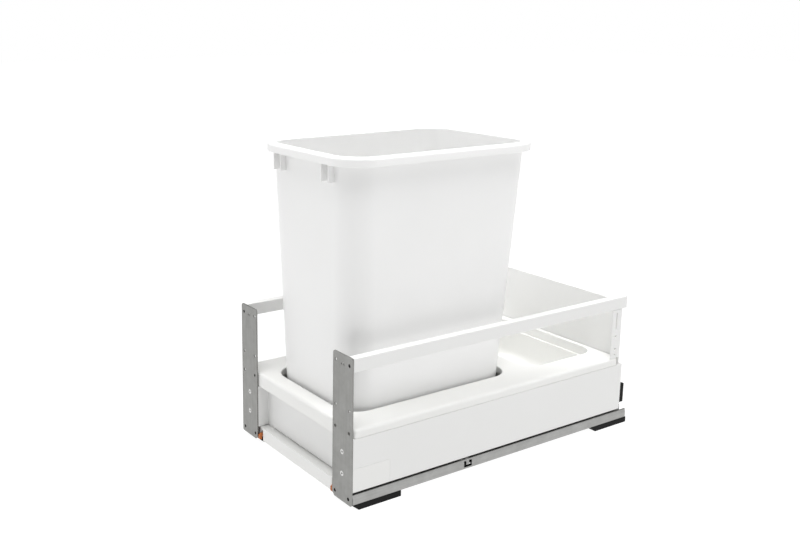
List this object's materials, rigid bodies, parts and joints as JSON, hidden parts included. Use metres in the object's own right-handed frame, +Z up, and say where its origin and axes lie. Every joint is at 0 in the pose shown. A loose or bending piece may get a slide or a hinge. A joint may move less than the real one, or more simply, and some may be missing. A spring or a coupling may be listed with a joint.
{
  "type": "pull-out waste bin drawer",
  "caption": "White pull-out waste bin drawer on telescopic slides, with steel door brackets, gallery rails, a tray and a lift-out bin.",
  "frame": {"origin": "centre of the bounding box's underside, on the cabinet floor under the feet", "axes": "+Z up; the door brackets face -Y and the drawer pulls out along -Y; +X to the right when facing +Y"},
  "size_m": [0.3, 0.558, 0.4789],
  "materials": {
    "bin_plastic": "fine satin moulded plastic",
    "tray_plastic": "smooth moulded plastic",
    "white_steel": "satin powder coat",
    "white_board": "white-faced particle board",
    "white_plastic": "satin",
    "zinc_steel": "satin zinc plate",
    "galvanised_steel": "galvanised",
    "fastener_steel": "bright zinc plate",
    "ball_steel": "polished",
    "black_plastic": "fine grain",
    "grey_plastic": "satin",
    "orange_plastic": "satin",
    "bumper_rubber": "matte"
  },
  "bodies": {
    "cabinet_runners": {"left_cabinet_runner": "galvanised_steel", "right_cabinet_runner": "galvanised_steel", "left_front_foot": "black_plastic", "right_front_foot": "black_plastic", "left_rear_foot": "black_plastic", "right_rear_foot": "black_plastic", "foot_rivets": "fastener_steel", "rear_bumpers": "bumper_rubber"},
    "middle_members": {"left_middle_runner": "galvanised_steel", "right_middle_runner": "galvanised_steel"},
    "lower_cages": {"left_lower_ball_cage": "black_plastic", "right_lower_ball_cage": "black_plastic", "lower_balls": "ball_steel"},
    "upper_cages": {"left_upper_ball_cage": "black_plastic", "right_upper_ball_cage": "black_plastic", "upper_balls": "ball_steel"},
    "drawer": {"left_drawer_runner": "galvanised_steel", "right_drawer_runner": "galvanised_steel", "left_side_wall": "white_steel", "right_side_wall": "white_steel", "left_side_cover": "white_plastic", "right_side_cover": "white_plastic", "base_board": "white_board", "board_screws": "fastener_steel", "front_panel": "white_steel", "left_bracket_carrier": "white_steel", "right_bracket_carrier": "white_steel", "left_door_bracket": "zinc_steel", "right_door_bracket": "zinc_steel", "bracket_screws": "fastener_steel", "left_gallery_rail": "white_steel", "right_gallery_rail": "white_steel", "left_rail_connector": "grey_plastic", "right_rail_connector": "grey_plastic", "left_rail_end_cap": "white_plastic", "right_rail_end_cap": "white_plastic", "back_panel": "white_steel", "left_rear_plug": "black_plastic", "right_rear_plug": "black_plastic", "left_lever_housing": "white_plastic", "right_lever_housing": "white_plastic", "lever_pins": "fastener_steel", "tray": "tray_plastic"},
    "left_lever": {"left_release_lever": "orange_plastic"},
    "right_lever": {"right_release_lever": "orange_plastic"},
    "bin": {"bin": "bin_plastic"}
  },
  "joints": [
    {"name": "drawer_slide", "type": "slide", "parent": "cabinet_runners", "child": "drawer", "axis": [0, -1, 0], "range_m": [0, 0.5]},
    {"name": "middle_slide", "type": "slide", "parent": "cabinet_runners", "child": "middle_members", "axis": [0, -1, 0], "range_m": [0, 0.25]},
    {"name": "lower_cage_slide", "type": "slide", "parent": "cabinet_runners", "child": "lower_cages", "axis": [0, -1, 0], "range_m": [0, 0.125]},
    {"name": "upper_cage_slide", "type": "slide", "parent": "cabinet_runners", "child": "upper_cages", "axis": [0, -1, 0], "range_m": [0, 0.375]},
    {"name": "bin_lift", "type": "slide", "parent": "drawer", "child": "bin", "axis": [0, 0, 1], "range_m": [0, 0.25]},
    {"name": "left_lever_turn", "type": "hinge", "parent": "drawer", "child": "left_lever", "pos_m": [-0.1005, -0.245, 0.0165], "axis": [-1, 0, 0], "range_deg": [0, 8], "stiffness_Nm_per_rad": 0.2, "springref_deg": -11.46},
    {"name": "right_lever_turn", "type": "hinge", "parent": "drawer", "child": "right_lever", "pos_m": [0.1005, -0.245, 0.0165], "axis": [-1, 0, 0], "range_deg": [0, 8], "stiffness_Nm_per_rad": 0.2, "springref_deg": -11.46}
  ],
  "couplings": [
    {"joint": "middle_slide", "follows": "drawer_slide", "ratio": 0.5},
    {"joint": "lower_cage_slide", "follows": "drawer_slide", "ratio": 0.25},
    {"joint": "upper_cage_slide", "follows": "drawer_slide", "ratio": 0.75}
  ]
}
